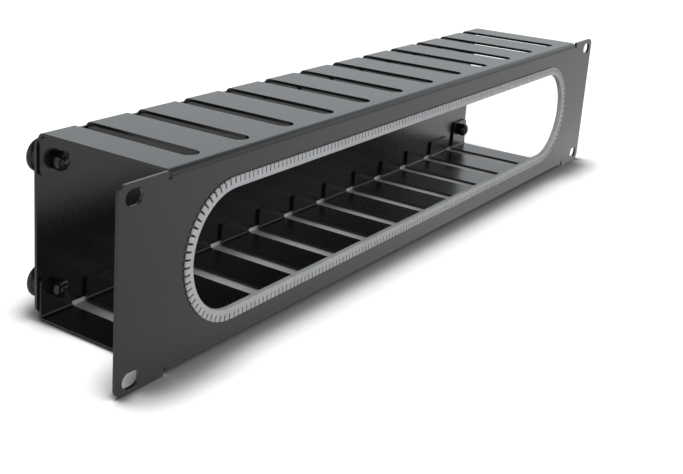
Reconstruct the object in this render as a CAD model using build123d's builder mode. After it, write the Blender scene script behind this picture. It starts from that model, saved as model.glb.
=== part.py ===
from build123d import *
import os
from math import pi, radians, tan

os.makedirs("parts", exist_ok=True)

# Horizontal cable manager for a 19 inch rack, two units high, in millimetres.
# X runs along the rack's width, Y from the front to the rear and Z up.
# Y = 0 is the rear face of the two ears, which lies on the rack's rails.
# X = 0 and Z = 0 are the centre of the four rack screw slots.

# Front panel with its ears
panel_width = 482.6
panel_height = 88.1
sheet = 1.5
ear_corner = 4.0
rack_inset_x = 8.75  # end of an ear to the centre of its screw slots
rack_inset_z = 5.95  # top or bottom edge to the centre of a screw slot
rack_slot_length = 10.0
rack_slot_height = 7.0

# Channel folded back from the panel
ear_width = 30.3
channel_depth = 76.5  # front face of the panel to the rear face of the flanges
bend_inside = 1.5
relief_width = 2.0
relief_depth = 3.5
end_tab_height = 20.0
end_tab_least_width = 15.0
tab_height = 12.0
end_tab_corner = 2.5
tab_corner = 1.2

# Slots in the top and the bottom, open at the rear, which divide the flanges into tabs
slot_pitch = 34.0
slot_width = 9.4
slot_setback = 7.5  # front face of the panel to the round end of a slot

# Oval cut-out in the panel
cutout_border = 15.05  # sheet above and below the cut-out
cutout_margin = 13.0  # end of the cut-out to the end of the channel

# Castellated edging strip on the rim of the cut-out
web_thickness = 1.3
leg_thickness = 0.9
leg_reach = 3.7  # cover of the legs over the sheet, from the edge of the cut-out
edging_fit = 0.05
edging_bevel = 0.4
tooth_pitch = 3.07
notch_width = 0.6
notch_depth = 2.8
seam_offset = -46.0
seam_gap = 0.3

# Rear cover
cover_thickness = 1.5
cover_overhang = 1.0  # past each end of the channel
cover_edge_margin = 2.5  # short of the top and of the bottom
cover_corner = 4.0

# Push-pull fasteners: a split grommet and a plunger with a flared knob
fastener_drop = 14.0  # outer face of the top or bottom to a fastener's axis
fastener_hole = 7.6
sleeve_fit = 0.1
barb_diameter = 8.2
sleeve_tip_diameter = 6.6
sleeve_protrusion = 5.2
sleeve_slit = 0.7
bore_diameter = 4.6
flange_diameter = 13.0
flange_thickness = 1.5
pin_fit = 0.075
pin_overrun = 0.9
neck_diameter = 9.5
knob_diameter = 15.8
knob_flare = 5.8
knob_rim = 2.7

# Places that several pieces share
front_face = -sheet
flange_rear = front_face + channel_depth
cover_rear = flange_rear + cover_thickness
bend_outside = bend_inside + sheet
channel_width = panel_width - 2 * ear_width
slot_room = channel_width - 2 * end_tab_least_width - slot_width
slot_count = int(slot_room / slot_pitch) + 1
slot_span = slot_pitch * (slot_count - 1)
outer_slot_edge = slot_span / 2 + slot_width / 2
fastener_x = (channel_width / 2 + outer_slot_edge) / 2
fastener_z = panel_height / 2 - fastener_drop
cutout_radius = panel_height / 2 - cutout_border
cutout_centres = channel_width - 2 * (cutout_margin + cutout_radius)
opening_radius = cutout_radius - edging_fit - web_thickness
leg_radius = cutout_radius + leg_reach


# Folded sheet: panel, ears, top, bottom and the rear flanges with their tabs
with BuildPart() as folded_body:
    flange_end = panel_height / 2 - end_tab_height
    with BuildSketch(Plane.YZ) as channel_section:
        with BuildLine():
            FilletPolyline(
                (flange_rear, flange_end),
                (flange_rear, panel_height / 2),
                (front_face, panel_height / 2),
                (front_face, -panel_height / 2),
                (flange_rear, -panel_height / 2),
                (flange_rear, -flange_end),
                radius=bend_outside,
            )
            offset(amount=sheet, side=Side.LEFT)
        make_face()
    extrude(amount=channel_width / 2, both=True)

    # The flat panel stops where the bends to the top and the bottom start
    with BuildSketch(Plane.XZ) as panel_blank:
        RectangleRounded(panel_width, panel_height, ear_corner)
        with GridLocations(0, panel_height - bend_outside, 1, 2):
            Rectangle(channel_width, bend_outside, mode=Mode.SUBTRACT)
        with GridLocations(channel_width + relief_width, panel_height - relief_depth, 2, 2):
            Rectangle(relief_width, relief_depth, mode=Mode.SUBTRACT)
    extrude(amount=sheet)

    with BuildSketch(Plane.XZ) as panel_holes:
        SlotCenterToCenter(cutout_centres, 2 * cutout_radius)
        with GridLocations(panel_width - 2 * rack_inset_x, panel_height - 2 * rack_inset_z, 2, 2):
            SlotOverall(rack_slot_length, rack_slot_height)
    extrude(amount=sheet, mode=Mode.SUBTRACT)

    # Each slot is cut through the top and the bottom at once
    slot_run = channel_depth + slot_width
    with BuildSketch(Plane.XY) as slots:
        with Locations((0, front_face + slot_setback + slot_run / 2)):
            with GridLocations(slot_pitch, 0, slot_count, 1):
                SlotOverall(slot_run, slot_width, rotation=90)
    extrude(amount=panel_height, both=True, mode=Mode.SUBTRACT)

    # The tabs between the end tabs are lower
    with BuildSketch(Plane.XZ.offset(-flange_rear)) as low_tabs:
        Rectangle(slot_span, panel_height - 2 * tab_height)
    extrude(amount=sheet, mode=Mode.SUBTRACT)

    flange_edges = edges().filter_by(Axis.Y).filter_by_position(
        Axis.Y, flange_rear - sheet, flange_rear
    )
    tab_edge = panel_height / 2 - tab_height
    end_corners = flange_edges.filter_by(lambda edge: abs(edge.center().Z) < flange_end + 0.01)
    fillet(end_corners, end_tab_corner)
    low_corners = flange_edges.filter_by(lambda edge: abs(abs(edge.center().Z) - tab_edge) < 0.01)
    chamfer(low_corners, tab_corner)

    with BuildSketch(Plane.XZ.offset(-flange_rear)) as tab_holes:
        with GridLocations(2 * fastener_x, 2 * fastener_z, 2, 2):
            Circle(fastener_hole / 2)
    extrude(amount=sheet, mode=Mode.SUBTRACT)
folded_body.part.label = "folded_body"
export_step(folded_body.part, "parts/folded_body.step")


# Flat cover, held on the rear faces of the flanges by the four fasteners
with BuildPart() as rear_cover:
    with BuildSketch(Plane.XZ.offset(-cover_rear)) as cover_outline:
        RectangleRounded(
            channel_width + 2 * cover_overhang,
            panel_height - 2 * cover_edge_margin,
            cover_corner,
        )
        with GridLocations(2 * fastener_x, 2 * fastener_z, 2, 2):
            Circle(fastener_hole / 2, mode=Mode.SUBTRACT)
    extrude(amount=cover_thickness)
rear_cover.part.label = "rear_cover"
export_step(rear_cover.part, "parts/rear_cover.step")


# Edging strip: a U with its web on the cut edge and its two legs notched into teeth.
# On the round ends the web bends and the teeth stay straight, so the notches open outwards.
with BuildPart() as edge_trim:
    overshoot = 1.0
    web_line = cutout_radius - web_thickness / 2
    straight_teeth = round(cutout_centres / tooth_pitch)
    round_teeth = round(pi * web_line / tooth_pitch)
    tooth_angle = 180 / round_teeth
    notch_root = notch_width / 2 + (leg_radius - notch_depth - web_line) * tan(radians(tooth_angle / 2))
    notch_mouth = notch_width / 2 + (leg_radius + overshoot - web_line) * tan(radians(tooth_angle / 2))
    with BuildSketch(Plane.XZ.offset(sheet + leg_thickness)) as toothed_outline:
        Rectangle(cutout_centres, 2 * leg_radius)
        with GridLocations(cutout_centres, 0, 2, 1):
            RegularPolygon(leg_radius, 2 * round_teeth, major_radius=False, rotation=tooth_angle / 2)
        SlotCenterToCenter(cutout_centres, 2 * opening_radius, mode=Mode.SUBTRACT)
        with GridLocations(cutout_centres / straight_teeth, 2 * leg_radius, straight_teeth, 2):
            Rectangle(notch_width, 2 * notch_depth, mode=Mode.SUBTRACT)
        for end, first in ((1, -90), (-1, 90)):
            with Locations((end * cutout_centres / 2, 0)):
                with PolarLocations(
                    leg_radius, round_teeth, start_angle=first + tooth_angle / 2, angular_range=180
                ):
                    Polygon(
                        (-notch_depth, -notch_root),
                        (overshoot, -notch_mouth),
                        (overshoot, notch_mouth),
                        (-notch_depth, notch_root),
                        align=None,
                        mode=Mode.SUBTRACT,
                    )
    extrude(amount=-(sheet + 2 * leg_thickness))

    # The groove between the legs takes the sheet
    with BuildSketch(Plane.XZ) as groove:
        SlotCenterToCenter(cutout_centres, 2 * (leg_radius + overshoot))
        SlotCenterToCenter(
            cutout_centres, 2 * (cutout_radius - edging_fit), mode=Mode.SUBTRACT
        )
    extrude(amount=sheet, mode=Mode.SUBTRACT)

    rim_faces = faces().filter_by(Axis.Y).sort_by(Axis.Y)
    rim_edges = [*rim_faces[0].inner_wires()[0].edges(), *rim_faces[-1].inner_wires()[0].edges()]
    chamfer(rim_edges, edging_bevel)

    # The two cut ends of the strip meet in a butt joint in the lower run
    with BuildSketch(Plane.XY.offset(-leg_radius)) as seam:
        with Locations((seam_offset, -sheet / 2)):
            Rectangle(seam_gap, sheet + 4 * leg_thickness)
    extrude(amount=leg_reach + web_thickness + overshoot, mode=Mode.SUBTRACT)
edge_trim.part.label = "edge_trim"
export_step(edge_trim.part, "parts/edge_trim.step")


# Lengths along a fastener's axis, from the rear face of the cover
grip = cover_thickness + sheet
sleeve_tip = -grip - sleeve_protrusion
sleeve_radius = fastener_hole / 2 - sleeve_fit
flare_end = flange_thickness + knob_flare
rim_end = flare_end + knob_rim
places = {
    "upper_left": (-fastener_x, fastener_z),
    "upper_right": (fastener_x, fastener_z),
    "lower_left": (-fastener_x, -fastener_z),
    "lower_right": (fastener_x, -fastener_z),
}

for place, (axis_x, axis_z) in places.items():
    fastener_plane = Plane((axis_x, cover_rear, axis_z))
    fastener_axis = Axis((axis_x, cover_rear, axis_z), (0, 1, 0))

    # Grommet: a flange behind the cover and a split sleeve, which snaps behind the tab
    with BuildPart() as grommet:
        with BuildSketch(fastener_plane) as grommet_profile:
            with BuildLine():
                Polyline(
                    (bore_diameter / 2, flange_thickness),
                    (flange_diameter / 2, flange_thickness),
                    (flange_diameter / 2, 0),
                    (sleeve_radius, 0),
                    (sleeve_radius, -grip),
                    (barb_diameter / 2, -grip),
                    (sleeve_tip_diameter / 2, sleeve_tip),
                    (bore_diameter / 2, sleeve_tip),
                    close=True,
                )
            make_face()
        revolve(axis=fastener_axis)
        with BuildSketch(Plane.XZ.offset(-(cover_rear + sleeve_tip))) as sleeve_slits:
            with Locations((axis_x, axis_z)):
                Rectangle(barb_diameter, sleeve_slit, rotation=45)
                Rectangle(barb_diameter, sleeve_slit, rotation=-45)
        extrude(amount=-(sleeve_protrusion + sheet), mode=Mode.SUBTRACT)
    grommet.part.label = f"grommet_{place}"
    export_step(grommet.part, f"parts/grommet_{place}.step")

    # Plunger: a pin that spreads the sleeve and a flared knob to pull it by
    with BuildPart() as plunger:
        with BuildSketch(fastener_plane) as plunger_profile:
            pin_radius = bore_diameter / 2 - pin_fit
            pin_tip = sleeve_tip - pin_overrun
            with BuildLine():
                Polyline(
                    (0, rim_end),
                    (0, pin_tip),
                    (pin_radius, pin_tip),
                    (pin_radius, flange_thickness),
                    (neck_diameter / 2, flange_thickness),
                    (knob_diameter / 2, flare_end),
                    (knob_diameter / 2, rim_end),
                    close=True,
                )
            make_face()
        revolve(axis=fastener_axis)
    plunger.part.label = f"plunger_{place}"
    export_step(plunger.part, f"parts/plunger_{place}.step")
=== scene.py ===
import math
import bmesh
import bpy
from mathutils import Matrix, Vector


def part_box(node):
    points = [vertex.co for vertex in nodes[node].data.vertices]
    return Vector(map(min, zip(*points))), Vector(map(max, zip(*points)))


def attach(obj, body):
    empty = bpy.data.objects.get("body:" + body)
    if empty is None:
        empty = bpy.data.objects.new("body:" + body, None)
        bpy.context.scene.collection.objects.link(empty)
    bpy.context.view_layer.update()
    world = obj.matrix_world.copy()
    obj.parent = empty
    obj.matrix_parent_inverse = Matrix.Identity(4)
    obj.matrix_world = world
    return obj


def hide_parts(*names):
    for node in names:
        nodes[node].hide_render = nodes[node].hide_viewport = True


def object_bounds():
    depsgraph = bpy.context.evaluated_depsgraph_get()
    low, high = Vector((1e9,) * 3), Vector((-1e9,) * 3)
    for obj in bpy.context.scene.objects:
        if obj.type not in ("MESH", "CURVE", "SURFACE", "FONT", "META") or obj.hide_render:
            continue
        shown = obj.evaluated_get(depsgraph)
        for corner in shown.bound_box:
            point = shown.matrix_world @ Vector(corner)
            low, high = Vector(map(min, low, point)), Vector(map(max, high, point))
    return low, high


# Rack cable manager: powder coated folded sheet, grey edging strip, black plastic fasteners.
# Everything is in metres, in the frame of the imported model, unless a note gives another unit.

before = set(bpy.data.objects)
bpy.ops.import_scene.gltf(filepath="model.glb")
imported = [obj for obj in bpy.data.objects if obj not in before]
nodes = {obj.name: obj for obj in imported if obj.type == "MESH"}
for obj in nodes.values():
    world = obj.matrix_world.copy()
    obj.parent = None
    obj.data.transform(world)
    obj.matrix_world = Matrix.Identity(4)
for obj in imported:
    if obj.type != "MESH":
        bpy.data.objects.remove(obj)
cadLow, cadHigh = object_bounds()
print("stage: frame loaded,", len(nodes), "nodes")

perMetre = 1000    # millimetres
fullTurn = 360     # degrees


def linearColour(hexValue):
    # sRGB hex to the linear values that the shaders want
    channels = [int(hexValue[i:i + 2], 16) / 255 for i in (1, 3, 5)]
    linear = [c / 12.92 if c <= 0.04045 else ((c + 0.055) / 1.055) ** 2.4 for c in channels]
    return (*linear, 1.0)


def addNode(tree, kind, settings=None, links=None):
    # one node with its settings, and links given as {input: output socket}; an input is a name or a number
    node = tree.nodes.new(kind)
    for name, value in (settings or {}).items():
        if isinstance(name, int) or name in node.inputs:
            node.inputs[name].default_value = value
        else:
            setattr(node, name, value)
    for name, socket in (links or {}).items():
        tree.links.new(socket, node.inputs[name])
    return node


def newMaterial(name):
    material = bpy.data.materials.new(name)
    material.use_nodes = True
    material.node_tree.nodes.clear()
    return material, material.node_tree


# Camera

cameraSetup = {
    "place": (-0.5244, -0.2684, 0.1719),
    "azimuth": -53.48,    # degrees, 0 looks along +Y and below 0 the view turns towards +X
    "elevation": 15.60,   # degrees
    "roll": 2.87,         # degrees
    "lens": 58.05,        # mm
    "shiftX": 0.14,
    "shiftY": -0.14,
    "clipStart": 0.01,
}


def makeCamera(setup):
    azimuth, elevation, roll = (math.radians(setup[k]) for k in ("azimuth", "elevation", "roll"))
    forward = Vector((
        -math.sin(azimuth) * math.cos(elevation),
        math.cos(azimuth) * math.cos(elevation),
        -math.sin(elevation),
    ))
    level = forward.cross(Vector((0, 0, 1))).normalized()
    upright = level.cross(forward)
    right = math.cos(roll) * level + math.sin(roll) * upright
    up = math.cos(roll) * upright - math.sin(roll) * level
    data = bpy.data.cameras.new("studioCamera")
    data.lens = setup["lens"]
    data.shift_x = setup["shiftX"]
    data.shift_y = setup["shiftY"]
    data.clip_start = setup["clipStart"]
    camera = bpy.data.objects.new("studioCamera", data)
    turn = Matrix((right, up, -forward)).transposed()
    camera.matrix_world = Matrix.Translation(setup["place"]) @ turn.to_4x4()
    bpy.context.collection.objects.link(camera)
    bpy.context.scene.camera = camera


makeCamera(cameraSetup)
print("stage: camera")


edgeSamples = 4    # rays that each material takes to shade a rounded edge

# Powder coated steel: baked polyester powder on a folded sheet.
# It gives a satin black with a fine orange peel, and a soft pale sheen at a shallow angle.

powderCoat = {
    "colour": "#0b0c0d",
    "ior": 1.5,
    "roughness": 0.26,
    "roughnessSpread": 0.04,
    "peelSize": 1.6,          # mm between the bumps of the orange peel
    "peelDepth": 0.012,       # mm
    "grainSize": 0.45,        # mm, the powder's own grain, drawn as coarse as it shows
    "grainShare": 0.35,       # of the grain in the relief, where the rest is orange peel
    "grainSpan": (0.3, 0.7),  # most of the grain's values lie between these
    "reliefStrength": 0.6,
    "edgeRound": 0.25,        # mm, how the film rounds the cut edges of the sheet
}


def powderCoatedSteel(look):
    material, tree = newMaterial("powderCoatedSteel")
    place = addNode(tree, "ShaderNodeTexCoord").outputs["Object"]
    peel = addNode(tree, "ShaderNodeTexNoise", {
        "Scale": perMetre / look["peelSize"],
        "Detail": 2.0,
        "Roughness": 0.5,
    }, {"Vector": place})
    grain = addNode(tree, "ShaderNodeTexNoise", {
        "Scale": perMetre / look["grainSize"],
        "Detail": 1.0,
        "Roughness": 0.6,
    }, {"Vector": place})
    relief = addNode(tree, "ShaderNodeMix", {"data_type": "FLOAT", "Factor": look["grainShare"]},
                     {"A": peel.outputs["Fac"], "B": grain.outputs["Fac"]})
    grainLow, grainHigh = look["grainSpan"]
    sheen = addNode(tree, "ShaderNodeMapRange", {
        "From Min": grainLow,
        "From Max": grainHigh,
        "To Min": look["roughness"] - look["roughnessSpread"],
        "To Max": look["roughness"] + look["roughnessSpread"],
    }, {"Value": grain.outputs["Fac"]})
    edge = addNode(tree, "ShaderNodeBevel",
                   {"samples": edgeSamples, "Radius": look["edgeRound"] / perMetre})
    bump = addNode(tree, "ShaderNodeBump",
                   {"Strength": look["reliefStrength"], "Distance": look["peelDepth"] / perMetre},
                   {"Height": relief.outputs["Result"], "Normal": edge.outputs["Normal"]})
    coat = addNode(tree, "ShaderNodeBsdfPrincipled", {
        "Base Color": linearColour(look["colour"]),
        "IOR": look["ior"],
    }, {"Roughness": sheen.outputs["Result"], "Normal": bump.outputs["Normal"]})
    addNode(tree, "ShaderNodeOutputMaterial", None, {"Surface": coat.outputs["BSDF"]})
    return material


# Extruded polyethylene edging: soft grey strip, punched into teeth.
# It gives a waxy pale grey, a little uneven, with painted shade between the teeth.

edging = {
    "colour": "#b7b8ba",
    "shade": "#a4a6a8",
    "creviceShade": "#505354",        # painted shade deep between the teeth
    "creviceReach": 1.6,         # mm
    "creviceSpan": (0.4, 0.9),   # openness up to which the painted shade is full, and from which there is none
    "creviceSamples": 12,
    "ior": 1.51,
    "specular": 0.3,
    "roughness": 0.62,
    "scatter": 0.15,             # share of the light that spreads inside the plastic
    "scatterReach": 1.0,         # mm
    "mottleSize": 6.0,           # mm, slow change of tone along the strip
    "grainSize": 0.35,           # mm, the die's fine grain
    "grainDepth": 0.01,          # mm
    "reliefStrength": 0.5,
    "edgeRound": 0.15,           # mm
}


def extrudedPolyethylene(look):
    material, tree = newMaterial("extrudedPolyethylene")
    place = addNode(tree, "ShaderNodeTexCoord").outputs["Object"]
    mottle = addNode(tree, "ShaderNodeTexNoise",
                     {"Scale": perMetre / look["mottleSize"], "Detail": 3.0}, {"Vector": place})
    grain = addNode(tree, "ShaderNodeTexNoise",
                    {"Scale": perMetre / look["grainSize"], "Detail": 1.0}, {"Vector": place})
    mottled = addNode(tree, "ShaderNodeMix", {
        "data_type": "RGBA",
        "A": linearColour(look["shade"]),
        "B": linearColour(look["colour"]),
    }, {"Factor": mottle.outputs["Fac"]})
    # painted shade: ambient occlusion darkens the strip's colour between the teeth
    openness = addNode(tree, "ShaderNodeAmbientOcclusion", {
        "samples": look["creviceSamples"],
        "only_local": True,
        "Distance": look["creviceReach"] / perMetre,
    })
    shut, clear = look["creviceSpan"]
    toothFace = addNode(tree, "ShaderNodeMapRange", {"From Min": shut, "From Max": clear},
                        {"Value": openness.outputs["AO"]})
    toneAndShade = addNode(tree, "ShaderNodeMix", {"data_type": "RGBA", "A": linearColour(look["creviceShade"])},
                   {"Factor": toothFace.outputs["Result"], "B": mottled.outputs["Result"]})
    edge = addNode(tree, "ShaderNodeBevel",
                   {"samples": edgeSamples, "Radius": look["edgeRound"] / perMetre})
    bump = addNode(tree, "ShaderNodeBump",
                   {"Strength": look["reliefStrength"], "Distance": look["grainDepth"] / perMetre},
                   {"Height": grain.outputs["Fac"], "Normal": edge.outputs["Normal"]})
    plastic = addNode(tree, "ShaderNodeBsdfPrincipled", {
        "Roughness": look["roughness"],
        "IOR": look["ior"],
        "Specular IOR Level": look["specular"],
        "Subsurface Weight": look["scatter"],
        "Subsurface Scale": look["scatterReach"] / perMetre,
    }, {"Base Color": toneAndShade.outputs["Result"], "Normal": bump.outputs["Normal"]})
    addNode(tree, "ShaderNodeOutputMaterial", None, {"Surface": plastic.outputs["BSDF"]})
    return material


# Moulded nylon: black fasteners from a spark eroded mould.
# It gives a deep black with a broken, slightly soft shine.

fastenerNylon = {
    "colour": "#070808",
    "ior": 1.53,
    "roughness": 0.30,
    "roughnessSpread": 0.06,
    "grainSize": 0.30,      # mm, the mould's spark texture
    "grainDepth": 0.012,    # mm
    "reliefStrength": 0.5,
    "edgeRound": 0.2,       # mm
}


def mouldedNylon(look):
    material, tree = newMaterial("mouldedNylon")
    place = addNode(tree, "ShaderNodeTexCoord").outputs["Object"]
    grain = addNode(tree, "ShaderNodeTexVoronoi",
                    {"Scale": perMetre / look["grainSize"], "feature": "SMOOTH_F1"}, {"Vector": place})
    sheen = addNode(tree, "ShaderNodeMapRange", {
        "To Min": look["roughness"] - look["roughnessSpread"],
        "To Max": look["roughness"] + look["roughnessSpread"],
    }, {"Value": grain.outputs["Distance"]})
    edge = addNode(tree, "ShaderNodeBevel",
                   {"samples": edgeSamples, "Radius": look["edgeRound"] / perMetre})
    bump = addNode(tree, "ShaderNodeBump",
                   {"Strength": look["reliefStrength"], "Distance": look["grainDepth"] / perMetre},
                   {"Height": grain.outputs["Distance"], "Normal": edge.outputs["Normal"]})
    plastic = addNode(tree, "ShaderNodeBsdfPrincipled", {
        "Base Color": linearColour(look["colour"]),
        "IOR": look["ior"],
    }, {"Roughness": sheen.outputs["Result"], "Normal": bump.outputs["Normal"]})
    addNode(tree, "ShaderNodeOutputMaterial", None, {"Surface": plastic.outputs["BSDF"]})
    return material


steel = powderCoatedSteel(powderCoat)
strip = extrudedPolyethylene(edging)
nylon = mouldedNylon(fastenerNylon)
finishes = {"folded_body": steel, "rear_cover": steel, "edge_trim": strip}
for name, node in nodes.items():
    node.data.materials.clear()
    node.data.materials.append(finishes.get(name, nylon))
print("stage: materials")


# Plungers: turned pins with a soft crown, a rolled rim and a flare down to the collar

plunger = {
    "steps": 64,         # facets round the pin
    "sharpAngle": 50,    # degrees, edges that turn by more stay sharp
    # radius, then distance from the crown, in mm
    "profile": [
        (0.0, 0.0), (1.6, 0.02), (3.2, 0.1), (4.6, 0.24), (5.8, 0.44), (6.7, 0.72), (7.35, 1.1),
        (7.75, 1.6), (7.9, 2.15), (7.84, 2.65), (7.62, 3.05), (7.2, 3.4), (6.55, 3.85),
        (5.95, 4.45), (5.45, 5.2), (5.05, 6.1), (4.82, 7.1), (4.75, 8.5), (2.2, 8.5),
        (2.2, 18.1), (2.08, 18.5), (1.8, 18.8), (1.3, 19.02), (0.7, 19.09), (0.0, 19.1),
    ],
}

# Grommets: a flange with a rounded rim, a sleeve and four fingers that bulge and round off in a nose

grommet = {
    "steps": 64,
    "fingerSteps": 14,    # facets round each finger
    "fingers": 4,
    "slit": 11,           # degrees between two fingers
    "firstSlit": 45,      # degrees
    "sharpAngle": 50,
    # radius, then distance from the flange's rear face, in mm
    "bodyProfile": [
        (2.3, 0.0), (5.9, 0.0), (6.2, 0.08), (6.42, 0.3), (6.5, 0.6), (6.5, 1.5), (3.7, 1.5),
        (3.7, 4.5), (2.3, 4.5), (2.3, 0.0),
    ],
    "fingerProfile": [
        (2.5, 4.2), (3.5, 4.2), (3.5, 4.55), (4.0, 4.55), (4.2, 5.1), (4.38, 5.9), (4.5, 6.8),
        (4.5, 7.6), (4.36, 8.3), (4.05, 8.9), (3.6, 9.32), (3.1, 9.58), (2.8, 9.68), (2.5, 9.7),
        (2.5, 4.2),
    ],
}

joinWithin = 1e-6    # points of a turned mesh nearer than this become one


def turnProfile(form, profile, steps, start, sweep):
    # spins a profile of (radius, distance) in mm round Y, from start through sweep in degrees
    closed = profile[0] == profile[-1]
    turn = Matrix.Rotation(math.radians(start), 3, "Y")
    points = profile[:-1] if closed else profile
    line = [
        form.verts.new(turn @ Vector((radius / perMetre, -drop / perMetre, 0)))
        for radius, drop in points
    ]
    edges = [form.edges.new(pair) for pair in zip(line, line[1:])]
    if closed:
        edges.append(form.edges.new((line[-1], line[0])))
    spun = bmesh.ops.spin(form, geom=line + edges, axis=(0, 1, 0), cent=(0, 0, 0), steps=steps,
                          angle=math.radians(sweep), use_merge=sweep == fullTurn)
    if sweep < fullTurn:
        last = [part for part in spun["geom_last"] if isinstance(part, bmesh.types.BMEdge)]
        for loop in (edges, last):
            bmesh.ops.edgeloop_fill(form, edges=loop)


def plungerTurns(look):
    return [(look["profile"], look["steps"], 0, fullTurn)]


def grommetTurns(look):
    turns = [(look["bodyProfile"], look["steps"], 0, fullTurn)]
    pitch = fullTurn / look["fingers"]
    for finger in range(look["fingers"]):
        start = look["firstSlit"] + look["slit"] / 2 + finger * pitch
        turns.append((look["fingerProfile"], look["fingerSteps"], start, pitch - look["slit"]))
    return turns


def rearCentre(node):
    low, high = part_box(node)
    return Vector(((low[0] + high[0]) / 2, high[1], (low[2] + high[2]) / 2))


def makeTurned(node, body, look, turns):
    # one fastener part in place of its node, with the rear of its profile at the rear of the node
    form = bmesh.new()
    for profile, steps, start, sweep in turns:
        turnProfile(form, profile, steps, start, sweep)
    bmesh.ops.remove_doubles(form, verts=form.verts, dist=joinWithin)
    bmesh.ops.recalc_face_normals(form, faces=form.faces)
    bmesh.ops.translate(form, verts=form.verts, vec=rearCentre(node))
    mesh = bpy.data.meshes.new("turned_" + node)
    form.to_mesh(mesh)
    form.free()
    mesh.shade_smooth()
    mesh.set_sharp_from_angle(angle=math.radians(look["sharpAngle"]))
    mesh.materials.append(nylon)
    piece = bpy.data.objects.new("turned_" + node, mesh)
    bpy.context.collection.objects.link(piece)
    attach(piece, body)
    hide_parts(node)


for place in ("upper_left", "upper_right", "lower_left", "lower_right"):
    pin = "plunger_" + place
    makeTurned(pin, pin + "_body", plunger, plungerTurns(plunger))
    makeTurned("grommet_" + place, "manager", grommet, grommetTurns(grommet))
print("stage: fasteners")


# Studio: a pale floor and a pale surround that the camera sees as white, with painted shadow and painted
# reflection on the floor, and two soft lamps

studio = {
    "floorColour": "#c8c8c8",
    "floorSize": 6.0,
    "floorGlow": 0.75,                  # lifts the open floor to white for the camera
    "glowUnder": 0.1,                   # share of that lift under the object, where it paints shade
    "glowSpan": (0.68, 0.95),           # openness between which the lift comes in, painting a contact shadow
    "shadowReach": 32,                  # mm, how far round the object the painted contact shadow reaches
    "shadowSamples": 16,
    "shadowFloor": 0.35,                # what the painted shadow leaves of the floor's colour at the object's foot
    "shadowSpan": (0.45, 1.0),          # openness between which that colour comes back
    "floorGloss": 0.54,                 # what gloss mirrors of the open floor
    "glossUnder": 0.2,                  # share of it under the object, a painted shade in the reflection
    "glossLeft": 0.35,                  # share of it at the left, a painted darker reflection
    "glossLeftSpan": (-0.30, 0.05),     # X between which it fades
    "glossBehind": 1.7,                 # share of it behind the panel, a painted brighter reflection
    "glossBehindSpan": (-0.06, 0.0),    # Y between which it rises
    "surroundLevel": 0.40,              # light of the room on the object
    "horizonGloss": ("#f5fafd", 1.22),  # what gloss mirrors a little above eye level
    "hazeGloss": 0.6,                   # share of it that is left at the horizon itself
    "hazeSpan": (0.08, 0.24),           # height of the direction between which it comes in
    "zenithGloss": ("#e6eaee", 0.25),   # what gloss mirrors straight above
    "zenithSpan": (0.3, 0.8),           # height of the direction between which the one becomes the other
    "lamps": {
        # power in watts
        "overhead": {"place": (0.1, 0.4, 1.4), "aim": (0, 0, 0), "size": (1.6, 1.2), "power": 11.0},
        "leftFront": {"place": (-0.9, -0.9, 0.5), "aim": (-0.1, 0, 0), "size": (0.9, 0.7), "power": 10.0},
    },
}


def besideFootprint(tree, place):
    # 1 on the open floor, 0 under the channel and the knobs; it masks the painted shade under the object
    coverLow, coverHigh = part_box("rear_cover")
    outside = []
    for axis, low, high in ((0, coverLow[0], coverHigh[0]), (1, cadLow[1], coverHigh[1])):
        middle, half = (high + low) / 2, (high - low) / 2
        off = addNode(tree, "ShaderNodeMath", {"operation": "SUBTRACT", 1: middle}, {0: place[axis]})
        off = addNode(tree, "ShaderNodeMath", {"operation": "ABSOLUTE"}, {0: off.outputs[0]})
        off = addNode(tree, "ShaderNodeMath", {"operation": "GREATER_THAN", 1: half}, {0: off.outputs[0]})
        outside.append(off.outputs[0])
    either = addNode(tree, "ShaderNodeMath", {"operation": "MAXIMUM"}, {0: outside[0], 1: outside[1]})
    return either.outputs[0]


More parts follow.
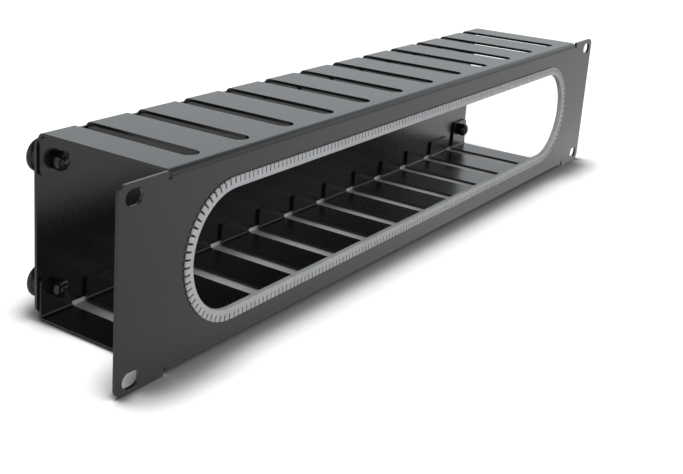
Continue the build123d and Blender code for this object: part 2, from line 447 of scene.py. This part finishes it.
def paperFloor(look):
    # the camera sees a white sheet with a painted contact shadow and painted shade under the object; gloss
    # sees a softer painted one, darker to the left and brighter behind the panel
    material, tree = newMaterial("paperFloor")
    path = addNode(tree, "ShaderNodeLightPath").outputs
    openness = addNode(tree, "ShaderNodeAmbientOcclusion", {
        "samples": look["shadowSamples"],
        "Distance": look["shadowReach"] / perMetre,
    }).outputs["AO"]
    # painted contact shadow: ambient occlusion darkens the floor's colour near the object
    shut, clear = look["shadowSpan"]
    unshadowedShare = addNode(tree, "ShaderNodeMapRange",
                   {"From Min": shut, "From Max": clear, "To Min": look["shadowFloor"]}, {"Value": openness})
    shadowedTint = addNode(tree, "ShaderNodeMix", {
        "data_type": "RGBA",
        "A": (0, 0, 0, 1),
        "B": linearColour(look["floorColour"]),
    }, {"Factor": unshadowedShare.outputs["Result"]})
    paper = addNode(tree, "ShaderNodeBsdfDiffuse", None, {"Color": shadowedTint.outputs["Result"]})
    place = addNode(tree, "ShaderNodeTexCoord").outputs["Object"]
    place = addNode(tree, "ShaderNodeSeparateXYZ", None, {"Vector": place}).outputs
    beside = besideFootprint(tree, place)

    # painted shade: the camera's lift fades near the object and drops under it
    shut, clear = look["glowSpan"]
    glowPastShadow = addNode(tree, "ShaderNodeMapRange", {"From Min": shut, "From Max": clear}, {"Value": openness})
    lift = addNode(tree, "ShaderNodeMapRange", {
        "To Min": look["floorGlow"] * look["glowUnder"],
        "To Max": look["floorGlow"],
    }, {"Value": beside})
    seen = path["Is Camera Ray"]
    for share in (glowPastShadow, lift):
        seen = addNode(tree, "ShaderNodeMath", {"operation": "MULTIPLY"},
                       {0: seen, 1: share.outputs["Result"]}).outputs[0]

    # painted reflection: the glow that gloss sees is dimmed to the left, raised behind the panel and dropped
    # under the object
    left, right = look["glossLeftSpan"]
    fade = addNode(tree, "ShaderNodeMapRange",
                   {"From Min": left, "From Max": right, "To Min": look["glossLeft"]}, {"Value": place["X"]})
    near, far = look["glossBehindSpan"]
    rise = addNode(tree, "ShaderNodeMapRange", {
        "From Min": near,
        "From Max": far,
        "To Min": 1.0,
        "To Max": look["glossBehind"],
    }, {"Value": place["Y"]})
    level = addNode(tree, "ShaderNodeMapRange", {
        "To Min": look["floorGloss"] * look["glossUnder"],
        "To Max": look["floorGloss"],
    }, {"Value": beside})
    mirrored = addNode(tree, "ShaderNodeMath", {"operation": "MAXIMUM"},
                       {0: path["Is Glossy Ray"], 1: path["Is Transmission Ray"]}).outputs[0]
    for share in (fade, rise, level):
        mirrored = addNode(tree, "ShaderNodeMath", {"operation": "MULTIPLY"},
                           {0: mirrored, 1: share.outputs["Result"]}).outputs[0]

    strength = addNode(tree, "ShaderNodeMath", {"operation": "ADD"}, {0: seen, 1: mirrored}).outputs[0]
    glow = addNode(tree, "ShaderNodeEmission", None, {"Strength": strength})
    both = addNode(tree, "ShaderNodeAddShader", None, {0: paper.outputs[0], 1: glow.outputs[0]})
    addNode(tree, "ShaderNodeOutputMaterial", None, {"Surface": both.outputs[0]})
    return material


def makeFloor(look):
    half = look["floorSize"] / 2
    height = cadLow[2]
    mesh = bpy.data.meshes.new("studioFloor")
    corners = [(x * half, y * half, height) for x, y in ((-1, -1), (1, -1), (1, 1), (-1, 1))]
    mesh.from_pydata(corners, [], [(0, 1, 2, 3)])
    mesh.materials.append(paperFloor(look))
    floor = bpy.data.objects.new("studioFloor", mesh)
    bpy.context.collection.objects.link(floor)


def makeSurround(look):
    world = bpy.data.worlds.new("studioSurround")
    world.use_nodes = True
    tree = world.node_tree
    tree.nodes.clear()
    path = addNode(tree, "ShaderNodeLightPath").outputs
    direction = addNode(tree, "ShaderNodeTexCoord").outputs["Generated"]
    height = addNode(tree, "ShaderNodeSeparateXYZ", None, {"Vector": direction}).outputs["Z"]
    level = addNode(tree, "ShaderNodeMapRange",
                    {"To Min": look["surroundLevel"], "To Max": 1.0}, {"Value": path["Is Camera Ray"]})
    room = addNode(tree, "ShaderNodeBackground", {"Color": (1, 1, 1, 1)},
                   {"Strength": level.outputs["Result"]})
    horizon, zenith = [
        (*[strength * c for c in linearColour(colour)[:3]], 1.0)
        for colour, strength in (look["horizonGloss"], look["zenithGloss"])
    ]
    low, high = look["zenithSpan"]
    climb = addNode(tree, "ShaderNodeMapRange", {
        "interpolation_type": "SMOOTHSTEP",
        "From Min": low,
        "From Max": high,
    }, {"Value": height})
    shade = addNode(tree, "ShaderNodeMix", {"data_type": "RGBA", "A": horizon, "B": zenith},
                    {"Factor": climb.outputs["Result"]})
    low, high = look["hazeSpan"]
    haze = addNode(tree, "ShaderNodeMapRange",
                   {"From Min": low, "From Max": high, "To Min": look["hazeGloss"]}, {"Value": height})
    mirrored = addNode(tree, "ShaderNodeBackground", None,
                       {"Color": shade.outputs["Result"], "Strength": haze.outputs["Result"]})
    gloss = addNode(tree, "ShaderNodeMath", {"operation": "MAXIMUM"},
                    {0: path["Is Glossy Ray"], 1: path["Is Transmission Ray"]})
    both = addNode(tree, "ShaderNodeMixShader", None,
                   {"Fac": gloss.outputs[0], 1: room.outputs[0], 2: mirrored.outputs[0]})
    addNode(tree, "ShaderNodeOutputWorld", None, {"Surface": both.outputs[0]})
    bpy.context.scene.world = world


def makeLamp(name, look):
    # an area lamp that lights the object and isn't seen or mirrored itself
    data = bpy.data.lights.new(name, "AREA")
    data.shape = "RECTANGLE"
    data.size, data.size_y = look["size"]
    data.energy = look["power"]
    lamp = bpy.data.objects.new(name, data)
    lamp.visible_glossy = False
    lamp.visible_camera = False
    lamp.location = look["place"]
    lamp.rotation_euler = (Vector(look["aim"]) - Vector(look["place"])).to_track_quat("-Z", "Y").to_euler()
    bpy.context.collection.objects.link(lamp)


makeFloor(studio)
makeSurround(studio)
for name, look in studio["lamps"].items():
    makeLamp(name, look)
bpy.context.scene.view_settings.view_transform = "Standard"
print("stage: studio")
